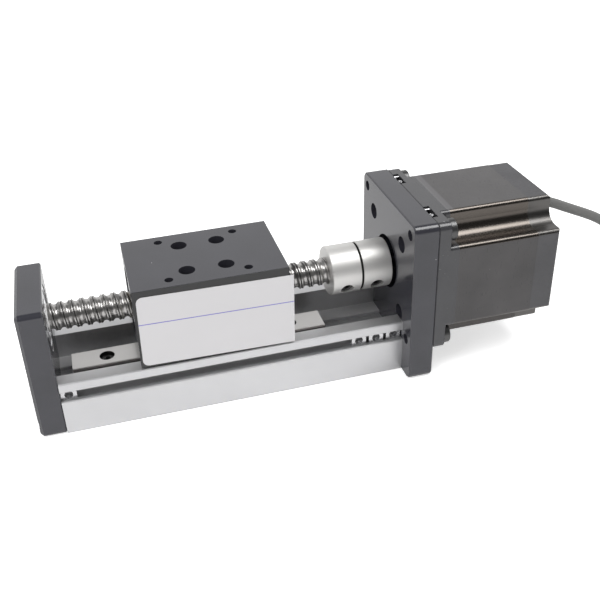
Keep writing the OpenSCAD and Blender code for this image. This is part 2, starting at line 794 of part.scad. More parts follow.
module rear_bearing_inner() {
    color("silver") bearing_inner(rear_bearing, rear_bearing_x);
}

module rear_bearing_balls() {
    color("lightgray") bearing_balls(rear_bearing, rear_bearing_x, 8);
}

// ---------- cable ----------

module cable_gland() {
    bore = cable_d / 2 + slack;
    color("black") translate([0, 0, gland_z]) rotate([0, 90, 0]) rotate_extrude()
        polygon([[bore, stator_x1], [gland_neck_r, stator_x1], [gland_neck_r, motor_end],
            [gland_r, motor_end], [gland_r, motor_end + 1.2], [gland_r - 0.9, motor_end + 1.6],
            [bore + 0.45, gland_end], [bore, gland_end]]);
}

function unit(v) = v / norm(v);
function tangent(p, i) = unit(p[min(i + 1, len(p) - 1)] - p[max(i - 1, 0)]);
// one ring of a tube: the side vector stays level, so the tube doesn't twist
function tube_ring(p, i, r, n) = let(t = tangent(p, i), side = unit(cross([0, 0, 1], t)), up = cross(t, side))
    [for (k = [0:n - 1]) p[i] + r * (cos(k * 360 / n) * side + sin(k * 360 / n) * up)];

module tube(p, r, n) {
    rings = len(p);
    points = [for (i = [0:rings - 1]) each tube_ring(p, i, r, n)];
    ends = [[for (k = [n - 1:-1:0]) k], [for (k = [0:n - 1]) (rings - 1) * n + k]];
    half = [for (i = [0:rings - 2], k = [0:n - 1])
        [i * n + k, i * n + (k + 1) % n, (i + 1) * n + (k + 1) % n]];
    rest = [for (i = [0:rings - 2], k = [0:n - 1]) [i * n + k, (i + 1) * n + (k + 1) % n, (i + 1) * n + k]];
    polyhedron(points = points, faces = concat(ends, half, rest));
}

module motor_cable() {
    color("gray") tube(cable_route, cable_d / 2, 10);
}

// section through the coil's turns, grown by t all round
module coil_section(t) {
    translate([coil_r1 - cable_d / 2 - t, tie_t - t])
        square([coil_r0 - coil_r1 + cable_d + 2 * t, cable_d + 2 * t]);
}

module cable_coil() {
    color("gray") translate([coil_c[0], coil_c[1], 0]) rotate_extrude() coil_section(0);
}

module cable_tie() {
    color("black") translate([coil_c[0], coil_c[1], 0]) rotate(-tie_angle / 2)
        rotate_extrude(angle = tie_angle) difference() {
            coil_section(tie_t);
            coil_section(0);
        }
}

// four leads spread out inside the coil
module lead_wires() {
    color("firebrick") translate([coil_c[0] - coil_r1 + cable_d / 2 - eps, coil_c[1], lead_r])
        for (i = [0:3]) translate([0, (i - 1.5) * 1.5, 0]) rotate([0, 90, (i - 1.5) * 10])
            cylinder(h = lead_len, r = lead_r);
}

base_extrusion();
left_end_plate();
end_plate_screws();
motor_plate();
motor_plate_screws();
guide_rail();
rail_screws();
slot_nuts();
end_bearing_outer();
end_bearing_balls();
end_bearing_shields();
end_bearing_inner();
screw_circlip();
carriage_block();
label_plate();
guide_block();
guide_block_caps();
guide_block_seals();
guide_block_screws();
ball_nut();
nut_wipers();
nut_screws();
ball_screw();
coupling();
coupling_set_screws();
motor_front_bell();
motor_stator();
motor_rear_cap();
motor_mount_screws();
motor_tie_screws();
motor_shaft();
motor_rotor();
front_bearing_outer();
front_bearing_balls();
front_bearing_inner();
rear_bearing_outer();
rear_bearing_balls();
rear_bearing_inner();
cable_gland();
motor_cable();
cable_coil();
cable_tie();
lead_wires();
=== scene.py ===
# %% [markdown]
# # A ball screw linear module
# A stepper motor turns a ball screw through a rigid coupling, and the screw drives a carriage along a
# profiled rail. The solids come from CAD as a fixed frame: every part already has its place and size.
# This script gives each part its finish, and makes anew what needs a finer mesh than CAD keeps: the
# screw's thread, the cable with its coil, and the bare leads. It adds the small fittings that show in
# the windows of the motor's flange.

import json
import math

import bmesh
import bpy
from mathutils import Matrix, Vector


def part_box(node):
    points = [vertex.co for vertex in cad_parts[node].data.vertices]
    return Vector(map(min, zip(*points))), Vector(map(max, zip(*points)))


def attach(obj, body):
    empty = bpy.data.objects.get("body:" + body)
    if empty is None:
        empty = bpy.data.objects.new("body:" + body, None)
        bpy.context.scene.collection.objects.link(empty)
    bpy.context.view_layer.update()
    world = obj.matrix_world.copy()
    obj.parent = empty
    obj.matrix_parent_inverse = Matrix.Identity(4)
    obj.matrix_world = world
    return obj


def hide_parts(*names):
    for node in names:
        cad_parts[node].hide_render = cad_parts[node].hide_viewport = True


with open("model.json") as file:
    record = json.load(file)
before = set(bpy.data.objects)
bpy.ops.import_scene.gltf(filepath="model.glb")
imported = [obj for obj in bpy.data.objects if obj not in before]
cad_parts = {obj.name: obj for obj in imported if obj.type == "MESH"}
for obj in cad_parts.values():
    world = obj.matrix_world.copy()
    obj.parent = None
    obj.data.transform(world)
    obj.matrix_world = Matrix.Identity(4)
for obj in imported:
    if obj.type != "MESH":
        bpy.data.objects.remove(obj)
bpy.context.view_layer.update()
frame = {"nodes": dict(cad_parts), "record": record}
MM = 0.001
AXIS_Z = 41 * MM
NODES = frame["nodes"]
RECORD = frame["record"]
print("parts in the frame:", len(NODES))

# %% [markdown]
# ## Camera
# A camera is a place, a direction and a lens. The direction is built from two vectors, where it looks
# and which way is up. The small lens shift moves the picture on the film without turning the camera,
# as a shift lens does, so the object sits a little off the middle.

# %% Camera
CAMERA_PLACE = Vector((-0.04484, -0.2860, 0.21707))
CAMERA_LOOK = Vector((0.20214, 0.83516, -0.51152)).normalized()
CAMERA_UP = Vector((0.16229, 0.48652, 0.85847))
FILM_WIDTH = 36
LENS = 51.23
LENS_SHIFT = (0.0278, -0.0402)
NEAREST = 0.01
FARTHEST = 20

camera_data = bpy.data.cameras.new("camera")
camera_data.sensor_width = FILM_WIDTH
camera_data.lens = LENS
camera_data.shift_x, camera_data.shift_y = LENS_SHIFT
camera_data.clip_start = NEAREST
camera_data.clip_end = FARTHEST
camera = bpy.data.objects.new("camera", camera_data)
bpy.context.scene.collection.objects.link(camera)
camera_right = CAMERA_LOOK.cross(CAMERA_UP).normalized()
camera_up = camera_right.cross(CAMERA_LOOK)
turn = Matrix((camera_right, camera_up, -CAMERA_LOOK)).transposed()
camera.matrix_world = Matrix.Translation(CAMERA_PLACE) @ turn.to_4x4()
bpy.context.scene.camera = camera
print("camera looks along", tuple(round(v, 2) for v in CAMERA_LOOK))

# %% [markdown]
# ## Nodes by short names
# Materials and shapes are both made of nodes. A few short functions place one node at a time: with its
# settings, with links where an input gets another node's output, and with numbers where it doesn't.


# %% Helpers for nodes
def add_node(tree, kind, inputs=None, **settings):
    """One node with its settings. Each input, by name or place, gets a link or a value."""
    node = tree.nodes.new(kind)
    for label, value in settings.items():
        setattr(node, label, value)
    for place, value in (inputs or {}).items():
        if isinstance(value, bpy.types.NodeSocket):
            tree.links.new(value, node.inputs[place])
        else:
            node.inputs[place].default_value = value
    return node


def calculator(tree):
    """A function that makes Math nodes in a tree. More than two values make a chain of nodes."""

    def calc(operation, first, *others):
        for second in others or [None]:
            values = {0: first} if second is None else {0: first, 1: second}
            first = add_node(tree, "ShaderNodeMath", values, operation=operation).outputs[0]
        return first

    return calc


def clamped(tree, value, start, span):
    """Rises from 0 at start to 1 at start + span, and stays within them."""
    calc = calculator(tree)
    share = calc("DIVIDE", calc("SUBTRACT", value, start), span)
    return calc("MINIMUM", calc("MAXIMUM", share, 0.0), 1.0)


def mix_node(tree, mask, first, second, kind="FLOAT"):
    """Blends two numbers, or two colours when the kind is RGBA, by a mask."""
    inputs = {"Factor": mask, "A": first, "B": second}
    return add_node(tree, "ShaderNodeMix", inputs, data_type=kind).outputs["Result"]


def object_place(tree):
    """The point on the part, in metres in the module's own frame."""
    return tree.nodes.new("ShaderNodeTexCoord").outputs["Object"]


def place_axes(tree):
    """The same point as three numbers, named X, Y and Z."""
    return add_node(tree, "ShaderNodeSeparateXYZ", {0: object_place(tree)}).outputs


def fed_by(socket):
    """What feeds an input: the output linked to it, or its own value."""
    return socket.links[0].from_socket if socket.is_linked else socket.default_value


# %% [markdown]
# ## Shared shader groups
# Real finishes differ less in colour than in their small unevenness. Three node groups make it once
# for every material: a grain that can be stretched along one direction, as sawing, grinding or
# extruding leaves it; fine lines for turned and stacked parts; and patches and specks from handling.
# They put out only masks and heights, so each material decides what to do with them.

# %% Numbers of the groups
WOBBLE_SCALE = 400
PATCH_DETAIL = 4
SPECK_SCALE = 260
SPECK_SIZE = 0.05


# %% Stretched grain
def new_group(name, inputs, outputs):
    """An empty shader group with named float sockets, and its input and output nodes."""
    tree = bpy.data.node_groups.new(name, "ShaderNodeTree")
    for label, value in inputs:
        socket = tree.interface.new_socket(label, in_out="INPUT", socket_type="NodeSocketFloat")
        socket.default_value = value
    for label in outputs:
        tree.interface.new_socket(label, in_out="OUTPUT", socket_type="NodeSocketFloat")
    return tree, tree.nodes.new("NodeGroupInput"), tree.nodes.new("NodeGroupOutput")


def build_grain_group():
    """Noise with its own scale along each axis, as a tone around zero and as a height."""
    scales = [("Along X", 1000.0), ("Along Y", 1000.0), ("Along Z", 1000.0), ("Detail", 3.0)]
    tree, source, result = new_group("stretched_grain", scales, ["Tone", "Height"])
    spread = add_node(tree, "ShaderNodeCombineXYZ", {axis: source.outputs[axis] for axis in range(3)})
    sides = {0: object_place(tree), 1: spread.outputs[0]}
    stretch = add_node(tree, "ShaderNodeVectorMath", sides, operation="MULTIPLY")
    noise = add_node(tree, "ShaderNodeTexNoise", {
        "Scale": 1.0, "Detail": source.outputs["Detail"], "Vector": stretch.outputs[0]})
    tone = calculator(tree)("SUBTRACT", noise.outputs["Fac"], 0.5)
    tree.links.new(tone, result.inputs["Tone"])
    tree.links.new(noise.outputs["Fac"], result.inputs["Height"])
    return tree


GRAIN = build_grain_group()


# %% Lines across the module's length
def build_lines_group():
    """Fine lines across X with a given pitch: tool marks on turned parts, or stacked sheets' edges."""
    tree, source, result = new_group("cross_lines", [("Pitch", 0.0005), ("Wobble", 0.3)], ["Line"])
    calc = calculator(tree)
    unevenness = add_node(tree, "ShaderNodeTexNoise", {
        "Scale": WOBBLE_SCALE, "Vector": object_place(tree)})
    shift = calc("MULTIPLY", unevenness.outputs["Fac"], source.outputs["Wobble"])
    turns = calc("DIVIDE", place_axes(tree)["X"], source.outputs["Pitch"])
    phase = calc("MULTIPLY", calc("ADD", turns, shift), 2 * math.pi)
    line = calc("MULTIPLY", calc("ADD", calc("SINE", phase), 1.0), 0.5)
    tree.links.new(line, result.inputs["Line"])
    return tree


LINES = build_lines_group()


# %% Handling marks
def build_marks_group():
    """Soft patches where hands, oil and dust have dulled a surface, and a few fine specks."""
    values = [("Size", 60.0), ("Share", 0.0)]
    tree, source, result = new_group("handling_marks", values, ["Patch", "Speck"])
    calc = calculator(tree)
    patches = add_node(tree, "ShaderNodeTexNoise", {
        "Detail": PATCH_DETAIL, "Vector": object_place(tree), "Scale": source.outputs["Size"]})
    tree.links.new(patches.outputs["Fac"], result.inputs["Patch"])
    specks = add_node(tree, "ShaderNodeTexVoronoi", {
        "Scale": SPECK_SCALE, "Vector": object_place(tree)})
    near = calc("LESS_THAN", specks.outputs["Distance"], SPECK_SIZE)
    chance = add_node(tree, "ShaderNodeSeparateColor", {0: specks.outputs["Color"]}).outputs[0]
    chosen = calc("LESS_THAN", chance, source.outputs["Share"])
    tree.links.new(calc("MULTIPLY", near, chosen), result.inputs["Speck"])
    return tree


MARKS = build_marks_group()
print("shader groups:", [group.name for group in (GRAIN, LINES, MARKS)])

# %% [markdown]
# ## Materials
# Each finish starts as a Principled shader with its plain numbers set on the shader. Then grain
# varies its roughness and lifts its surface a little, and patches change how light or dark its colour
# is. The bump is a few hundredths of a millimetre at most, as on the real finishes.

# %% Kinds of grain, as the noise's scale per metre along X, Y and Z
EVEN_GRAIN = (1500, 1500, 1500)
DRAWN_GRAIN = (25, 4000, 4000)
PAINT_GRAIN = (900, 900, 900)
TURNED_GRAIN = (9000, 60, 60)
SHEET_GRAIN = (4000, 300, 300)
DUST_COLOUR = (0.35, 0.35, 0.36, 1)


# %% A finish with grain
def finish(name, colour, metal, rough, grain=EVEN_GRAIN, bump=0.02, uneven=0.12, patch=0.06,
           dust=0.0, shine=0.5):
    """A Principled material.

    Bump is the grain's height in mm, and uneven how much the grain changes the roughness. Patch is how
    much the tone varies, dust the share of pale specks, and shine the level of the reflection.
    """
    material = bpy.data.materials.new(name)
    material.use_nodes = True
    tree = material.node_tree
    calc = calculator(tree)
    shader = tree.nodes["Principled BSDF"]
    shader.inputs["Metallic"].default_value = metal
    shader.inputs["Specular IOR Level"].default_value = shine
    fine = add_node(tree, "ShaderNodeGroup", node_tree=GRAIN)
    for axis in range(3):
        fine.inputs[axis].default_value = grain[axis]
    marks = add_node(tree, "ShaderNodeGroup", node_tree=MARKS)
    marks.inputs["Share"].default_value = dust
    rough_change = calc("MULTIPLY", fine.outputs["Tone"], uneven * 2)
    tree.links.new(calc("ADD", rough_change, rough), shader.inputs["Roughness"])
    darker = (*(c * (1 - patch) for c in colour), 1)
    lighter = (*(min(1, c * (1 + patch)) for c in colour), 1)
    shades = mix_node(tree, marks.outputs["Patch"], darker, lighter, "RGBA")
    dusted = mix_node(tree, marks.outputs["Speck"], shades, DUST_COLOUR, "RGBA")
    tree.links.new(dusted, shader.inputs["Base Color"])
    relief = add_node(tree, "ShaderNodeBump", {
        "Strength": 1.0, "Distance": bump * MM, "Height": fine.outputs["Height"]})
    tree.links.new(relief.outputs["Normal"], shader.inputs["Normal"])
    return material


# %% Metals, paint, plastic and rubber: colour, metallic value, roughness and what else differs
BLACK_SKIN = ((0.032, 0.032, 0.040), 0.0, 0.19,
              {"bump": 0.0012, "uneven": 0.05, "patch": 0.35, "dust": 0.04, "shine": 0.7})
FINISH_TABLE = {
    "clear_anodised": ((0.60, 0.60, 0.61), 0.78, 0.36, {"grain": DRAWN_GRAIN, "bump": 0.003}),
    "black_anodised": BLACK_SKIN,
    "carriage_black": BLACK_SKIN,
    "rail_steel": ((0.56, 0.55, 0.54), 1.0, 0.31,
                   {"grain": DRAWN_GRAIN, "bump": 0.0008, "uneven": 0.06}),
    "bearing_steel": ((0.72, 0.72, 0.73), 1.0, 0.16, {"bump": 0.0005}),
    "screw_steel": ((0.46, 0.45, 0.44), 1.0, 0.285, {"bump": 0.0003, "uneven": 0.03}),
    "black_steel": ((0.10, 0.10, 0.10), 0.8, 0.32, {"bump": 0.004}),
    "zinc_steel": ((0.62, 0.62, 0.63), 1.0, 0.28, {"bump": 0.004}),
    "rotor_steel": ((0.38, 0.38, 0.40), 1.0, 0.35, {"bump": 0.004}),
    "motor_cap": ((0.074, 0.073, 0.078), 0.0, 0.5,
                  {"grain": PAINT_GRAIN, "bump": 0.006, "patch": 0.4, "dust": 0.12}),
    "motor_bell": ((0.042, 0.042, 0.046), 0.0, 0.22,
                   {"grain": PAINT_GRAIN, "bump": 0.002, "patch": 0.35, "dust": 0.06, "shine": 0.65}),
    "motor_lamination": ((0.056, 0.053, 0.054), 0.0, 0.32,
                         {"grain": SHEET_GRAIN, "bump": 0.003, "patch": 0.45, "dust": 0.05}),
    "coupling_aluminium": ((0.74, 0.732, 0.715), 0.82, 0.48, {"grain": TURNED_GRAIN, "bump": 0.0006}),
    "tinned": ((0.75, 0.74, 0.72), 1.0, 0.3, {"bump": 0.003}),
    "label_white": ((0.66, 0.65, 0.662), 0.0, 0.45, {"bump": 0.002, "patch": 0.02}),
    "cap_plastic": ((0.06, 0.16, 0.11), 0.0, 0.5, {"bump": 0.01}),
    "wiper_plastic": ((0.75, 0.73, 0.66), 0.0, 0.5, {"bump": 0.01}),
    "black_rubber": ((0.03, 0.03, 0.031), 0.0, 0.55, {"bump": 0.02}),
    "cable_grey": ((0.15, 0.15, 0.145), 0.0, 0.5, {"bump": 0.02}),
    "tie_black": ((0.03, 0.03, 0.03), 0.0, 0.4, {"bump": 0.005}),
    "lead_colours": ((0.45, 0.03, 0.02), 0.0, 0.42, {"bump": 0.005}),
}
FINISHES = {name: finish(name, colour, metal, rough, **more)
            for name, (colour, metal, rough, more) in FINISH_TABLE.items()}
print("finishes:", len(FINISHES))

# %% [markdown]
# Turned and laminated parts get lines as well. A coupling is finished on a lathe, which leaves rings;
# a motor's stator is a stack of half-millimetre sheets, whose edges show through the paint.


# %% Lines added to two finishes
def add_lines(name, pitch, height, wobble):
    """Adds cross lines to the bump of a finish. Pitch and height are in mm."""
    tree = FINISHES[name].node_tree
    normal = tree.nodes["Principled BSDF"].inputs["Normal"]
    lines = add_node(tree, "ShaderNodeGroup", node_tree=LINES)
    lines.inputs["Pitch"].default_value = pitch * MM
    lines.inputs["Wobble"].default_value = wobble
    relief = add_node(tree, "ShaderNodeBump", {
        "Strength": 1.0, "Distance": height * MM,
        "Height": lines.outputs["Line"], "Normal": fed_by(normal)})
    tree.links.new(relief.outputs["Normal"], normal)


add_lines("coupling_aluminium", pitch=0.12, height=0.0003, wobble=0.6)
add_lines("motor_lamination", pitch=0.5, height=0.002, wobble=0.15)

# %% [markdown]
# ## Places with a skin of their own
# Some parts look different in places. In the hollows at the corners of the motor's body the paint is
# thin and bare metal shows through, less on the lower hollows, which is painted shade. A painted sheen
# lightens a band on the motor's top where two parts meet, and painted shade darkens the cut of the
# coupling and the crease of the thread. Painted light makes the channel's floor paler than its walls,
# and painted shade makes the sides of the rail and the front of the carriage darker than their tops.
# Each is a mask worked out from where a point lies, and one function blends the finish to another
# where the mask is one.


# %% Masks from the place on the part
def beyond(tree, value, limit, soft):
    """One where the size of a value is over a limit, zero under it. Limit and soft edge are in mm."""
    size = calculator(tree)("ABSOLUTE", value)
    return clamped(tree, size, (limit - soft / 2) * MM, soft * MM)


def within(tree, value, limit, soft):
    """One where the size of a value is under a limit in mm, zero over it."""
    return calculator(tree)("SUBTRACT", 1.0, beyond(tree, value, limit, soft))


def offsets(tree):
    """How far a point is from the screw's axis, sideways and upwards, in metres."""
    axes = place_axes(tree)
    return axes["Y"], calculator(tree)("SUBTRACT", axes["Z"], AXIS_Z)


PLACED = set()


def reskin(name, mask, colour, metal, rough):
    """Blends a finish to another colour, metallic value and roughness where a mask is one."""
    PLACED.add(name)
    tree = FINISHES[name].node_tree
    inputs = tree.nodes["Principled BSDF"].inputs
    for label, value in {"Base Color": (*colour, 1), "Metallic": metal, "Roughness": rough}.items():
        kind = "RGBA" if label == "Base Color" else "FLOAT"
        tree.links.new(mix_node(tree, mask, fed_by(inputs[label]), value, kind), inputs[label])


# %% Bare corners of the motor; painted shade keeps the lower ones darker
CORNER_START = 16.6
CORNER_SOFT = 0.5
LOWER_SHADED_SHARE = 0.35


def corner_mask(tree):
    """One in the hollows at the corners of the motor's square body."""
    aside, above = offsets(tree)
    return calculator(tree)("MULTIPLY", beyond(tree, aside, CORNER_START, CORNER_SOFT),
                            beyond(tree, above, CORNER_START, CORNER_SOFT))


tree = FINISHES["motor_lamination"].node_tree
calc = calculator(tree)
# painted shade: the lower corners keep only a share of the bare metal, so they stay darker than the upper
# ones
is_upper = calc("GREATER_THAN", offsets(tree)[1], 0.0)
share = calc("ADD", calc("MULTIPLY", is_upper, 1 - LOWER_SHADED_SHARE), LOWER_SHADED_SHARE)
bare_corners = calc("MULTIPLY", corner_mask(tree), share)
reskin("motor_lamination", bare_corners, (0.12, 0.107, 0.096), metal=1.0, rough=0.26)
bare_corners = corner_mask(FINISHES["motor_cap"].node_tree)
reskin("motor_cap", bare_corners, (0.13, 0.125, 0.12), metal=1.0, rough=0.34)

# %% Painted shade in the cut between the halves of the coupling
CUT_REACH = 9.6
CUT_HALF = 0.8
CUT_SOFT = 0.2
tree = FINISHES["coupling_aluminium"].node_tree
calc = calculator(tree)
coupling_low, coupling_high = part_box("coupling")
aside, above = offsets(tree)
reach = calc("SQRT", calc("ADD", calc("POWER", aside, 2.0), calc("POWER", above, 2.0)))
from_middle = calc("SUBTRACT", place_axes(tree)["X"], (coupling_low[0] + coupling_high[0]) / 2)
# painted shade: the inside of the cut is made near black, where shade falls
cut_painted_shade = calc("MULTIPLY", within(tree, reach, CUT_REACH, CUT_SOFT),
              within(tree, from_middle, CUT_HALF, CUT_SOFT))
reskin("coupling_aluminium", cut_painted_shade, (0.02, 0.02, 0.02), metal=0.0, rough=0.5)

# %% A painted sheen: a lighter band on top of the motor, where its bell meets the sheets
BAND_X = 87.3 * MM
BAND_HALF = 1.3
BAND_SOFT = 0.8
TOP_SKIN = 0.1 * MM
for name in ("motor_bell", "motor_lamination"):
    tree = FINISHES[name].node_tree
    calc = calculator(tree)
    axes = place_axes(tree)
    on_top = calc("GREATER_THAN", axes["Z"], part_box("motor_stator")[1][2] - TOP_SKIN)
    near_band = within(tree, calc("SUBTRACT", axes["X"], BAND_X), BAND_HALF, BAND_SOFT)
    # painted sheen: only the top face is lightened, as a highlight from above
    painted_sheen = calc("MULTIPLY", near_band, on_top)
    reskin(name, painted_sheen, (0.098, 0.095, 0.10), metal=0.0, rough=0.34)

# %% Painted light on the channel's floor, which is made paler than its walls
CHANNEL_FLOOR = (12.35 * MM, 12.65 * MM)
CHANNEL_HALF = 14.1
CHANNEL_SOFT = 0.1
tree = FINISHES["clear_anodised"].node_tree
calc = calculator(tree)
axes = place_axes(tree)
above_it = calc("GREATER_THAN", axes["Z"], CHANNEL_FLOOR[0])
below_it = calc("LESS_THAN", axes["Z"], CHANNEL_FLOOR[1])
between_walls = within(tree, axes["Y"], CHANNEL_HALF, CHANNEL_SOFT)
painted_light_floor = calc("MULTIPLY", above_it, below_it, between_walls)
# painted light: the floor of the channel gets a paler, less metallic skin, as if lit from above
reskin("clear_anodised", painted_light_floor, (0.74, 0.74, 0.75), metal=0.42, rough=0.42)


# %% Painted shade on the sides of the rail, the front of the carriage and the thread's crease
def under(name, axis, limit):
    """One where a point of a finish is under a limit along an axis."""
    tree = FINISHES[name].node_tree
    return calculator(tree)("LESS_THAN", place_axes(tree)[axis], limit)


RAIL_EDGE = 0.25 * MM
FRONT_SKIN = 0.15 * MM
# painted shade: the rail's sides, below its top edge, are made dark
rail_sides_painted_shade = under("rail_steel", "Z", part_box("guide_rail")[1][2] - RAIL_EDGE)
reskin("rail_steel", rail_sides_painted_shade, (0.16, 0.15, 0.145), metal=1.0, rough=0.4)
# painted shade: the carriage's front face is made darker than its top
carriage_front_painted_shade = under("carriage_black", "Y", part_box("carriage_block")[0][1] + FRONT_SKIN)
reskin("carriage_black", carriage_front_painted_shade, (0.010, 0.010, 0.011), metal=0.0, rough=0.45)
# painted shade: the thread's crease is made dark, where shade falls
crease = add_node(FINISHES["screw_steel"].node_tree, "ShaderNodeAttribute", attribute_name="crease")
reskin("screw_steel", crease.outputs["Fac"], (0.03, 0.03, 0.03), metal=1.0, rough=0.4)
print("finishes with places of their own:", len(PLACED))

# %% [markdown]
# The label on the carriage is a printed plate. It is left bare, apart from the thin rule that crosses
# it, which falls a little from left to right.

# %% The label's rule
RULE_START = 6.3
RULE_HEIGHT = 42.9
RULE_WIDTH = 0.4
RULE_SLOPE = math.tan(math.radians(1))
RULE_INK = (0.22, 0.20, 0.55, 1)


def add_rule(material):
    """Mixes a violet-blue line into the label's white where the height is right."""
    tree = material.node_tree
    calc = calculator(tree)
    axes = place_axes(tree)
    fall = calc("MULTIPLY", calc("ADD", axes["X"], RULE_START * MM), RULE_SLOPE)
    height = calc("SUBTRACT", calc("ADD", axes["Z"], fall), RULE_HEIGHT * MM)
    on_rule = calc("LESS_THAN", calc("ABSOLUTE", height), RULE_WIDTH / 2 * MM)
    base = tree.nodes["Principled BSDF"].inputs["Base Color"]
    tree.links.new(mix_node(tree, on_rule, fed_by(base), RULE_INK, "RGBA"), base)


add_rule(FINISHES["label_white"])

# %% [markdown]
# ## Dressing the CAD parts
# The record says which material slot each part has, so one loop dresses them all. Two parts wear a
# finish of their own within their slot.

# %% Dress the CAD parts
FINISH_OF = {part["node"]: part["material_slot"] for part in RECORD["subparts"]}
FINISH_OF["motor_front_bell"] = "motor_bell"
FINISH_OF["carriage_block"] = "carriage_black"
for name, part in NODES.items():
    for slot in part.material_slots:
        slot.material = FINISHES[FINISH_OF[name]]
print("dressed parts:", len(FINISH_OF))

# %% [markdown]
# ## The cable
# The motor's cable leaves the rear cap, sags to the bench and lies there in a flat coil of the length
# that isn't in use. Its centreline is a list of points down to the bench, and then a spiral whose
# number of turns follows from the cable's length.

# %% The cable's facts
CABLE_LENGTH = 0.500
CABLE_D = 4.2 * MM
COIL_CENTRE = Vector((206, -29.5, 2.6)) * MM
COIL_R = 29.5 * MM
COIL_PITCH = 4.3 * MM
COIL_STEPS = 48
ROUTE_STEPS = 4
CABLE_ROUTE = [
    Vector(point) * MM
    for point in [
        (136.25, 0, 57), (137.05, 0, 57), (139.5, 0, 56.5), (143.5, 0, 54.9), (148, 0, 52.8),
        (153, 0, 50.5), (158, 0, 48.2), (163, 0, 45.7), (168, 0, 42.6), (172.5, 0, 38.7),
        (176.5, 0, 33.7), (180, 0, 27.7), (183, 0, 21.2), (186.5, 0, 14.8), (191, 0, 9.3),
        (196, 0, 5.4), (201, 0, 3.2), (206, 0, 2.6),
    ]
]


# %% A smooth line through points
def smooth_line(points, steps):
    """Points on a Catmull-Rom curve through the given ones, with so many steps between each two."""
    padded = [2 * points[0] - points[1], *points, 2 * points[-1] - points[-2]]
    line = []
    for a, b, c, d in zip(padded, padded[1:], padded[2:], padded[3:]):
        for step in range(steps):
            t = step / steps
            bend = (2 * a - 5 * b + 4 * c - d) * t**2
            twist = (3 * b - a - 3 * c + d) * t**3
            line.append(b + ((c - a) * t + bend + twist) / 2)
    return [*line, points[-1]]


def line_length(points):
    """The length of a line through points."""
    return sum((b - a).length for a, b in zip(points, points[1:]))


# %% The whole centreline
down_line = smooth_line(CABLE_ROUTE, ROUTE_STEPS)
left_over = CABLE_LENGTH - line_length(down_line)
coil_turns = (COIL_R - math.sqrt(COIL_R**2 - COIL_PITCH * left_over / math.pi)) / COIL_PITCH
coil_line = []
for step in range(1, int(coil_turns * COIL_STEPS) + 1):
    turned = step / COIL_STEPS
    angle = math.pi / 2 - 2 * math.pi * turned
    radius = COIL_R - COIL_PITCH * turned
    coil_line.append(COIL_CENTRE + radius * Vector((math.cos(angle), math.sin(angle), 0)))
cable_line = down_line + coil_line
print("cable:", round(line_length(cable_line), 4), "m, turns in the coil:", round(coil_turns, 2))

# %% [markdown]
# A round cord is a curve with a bevel: one open line, and a radius for the tube around it.

# %% Curves with thickness
ROUNDNESS = 5


def cord_curve(name, points, diameter, material):
    """A round tube along points, as a curve of one open line."""
    curve = bpy.data.curves.new(name, "CURVE")
    curve.dimensions = "3D"
    curve.bevel_depth = diameter / 2
    curve.bevel_resolution = ROUNDNESS
    curve.use_fill_caps = True
    line = curve.splines.new("POLY")
    line.points.add(len(points) - 1)
    for spot, point in zip(line.points, points):
        spot.co = (*point, 1)
    line.use_smooth = True
    curve.materials.append(material)
    cord = bpy.data.objects.new(name, curve)
    bpy.context.scene.collection.objects.link(cord)
    return cord


cable = cord_curve("cable_jacket", cable_line, CABLE_D, FINISHES["cable_grey"])
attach(cable, "module_frame")
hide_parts("motor_cable", "cable_coil")

# %% [markdown]
# The cable ends bare, as such motors' cables do: four coloured leads spread out of the jacket, and the
# last few millimetres of each are tinned.

# %% Leads
LEAD_D = 1.25 * MM
TIP_D = 0.8 * MM
LEAD_STEPS = 6
INSIDE = 2
# places of a lead in mm from the jacket's end, each with its step from one lead to the next
IN_JACKET = Vector((0, 0, -0.4)), Vector((0.9, 0, 0))
LEAVING = Vector((0, 0, -0.8)), Vector((1, 0, 0))
LANDING = Vector((7, 4.5, 0)), Vector((1.2, -1.6, 0))
RESTING = Vector((13, 2, 0)), Vector((0, -3.2, 0))
TIP_START = 0.5
TIP_LENGTH = 3.5
LEAD_COLOURS = {
    "black": (0.02, 0.02, 0.02),
    "green": (0.03, 0.22, 0.06),
    "red": (0.45, 0.03, 0.02),
    "blue": (0.03, 0.08, 0.4),
}
cable_end = cable_line[-1]
end_way = (cable_line[-1] - cable_line[-2]).normalized()


def lead_line(side):
    """A lead's centreline: out of the jacket, down to the bench, and fanned out sideways."""
    on_bench = Vector((cable_end.x, cable_end.y, LEAD_D / 2))
    starts = [cable_end - end_way * INSIDE * MM, cable_end + end_way * INSIDE * MM, on_bench, on_bench]
    steps = [IN_JACKET, LEAVING, LANDING, RESTING]
    points = [start + (middle + side * fan) * MM for start, (middle, fan) in zip(starts, steps)]
    return [Vector((x, y, max(z, LEAD_D / 2))) for x, y, z in smooth_line(points, LEAD_STEPS)]


leads = []
for number, (colour_name, colour) in enumerate(LEAD_COLOURS.items()):
    line = lead_line(number - (len(LEAD_COLOURS) - 1) / 2)
    material = finish("lead_" + colour_name, colour, 0.0, 0.42, bump=0.005)
    leads.append(cord_curve("lead_" + colour_name, line, LEAD_D, material))
    tip_way = (line[-1] - line[-2]).normalized()
    tip_line = [line[-1] - tip_way * TIP_START * MM, line[-1] + tip_way * TIP_LENGTH * MM]
    leads.append(cord_curve("lead_tip_" + colour_name, tip_line, TIP_D, FINISHES["tinned"]))
for lead in leads:
    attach(lead, "module_frame")
    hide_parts("lead_wires")
print("leads:", len(LEAD_COLOURS))

# %% [markdown]
# ## The ball screw's thread
# A ball screw's thread is a round groove that winds along the shaft. One outline, swept once round and
# forward by the lead, gives it. Geometry Nodes can do this to a plain grid: each column of the grid is
# a ray round the axis, each row runs along the helix, and the radius follows the outline. Rows that
# would pass an end are drawn onto that end's circle, and a merge by distance joins the seam and closes
# the mesh.

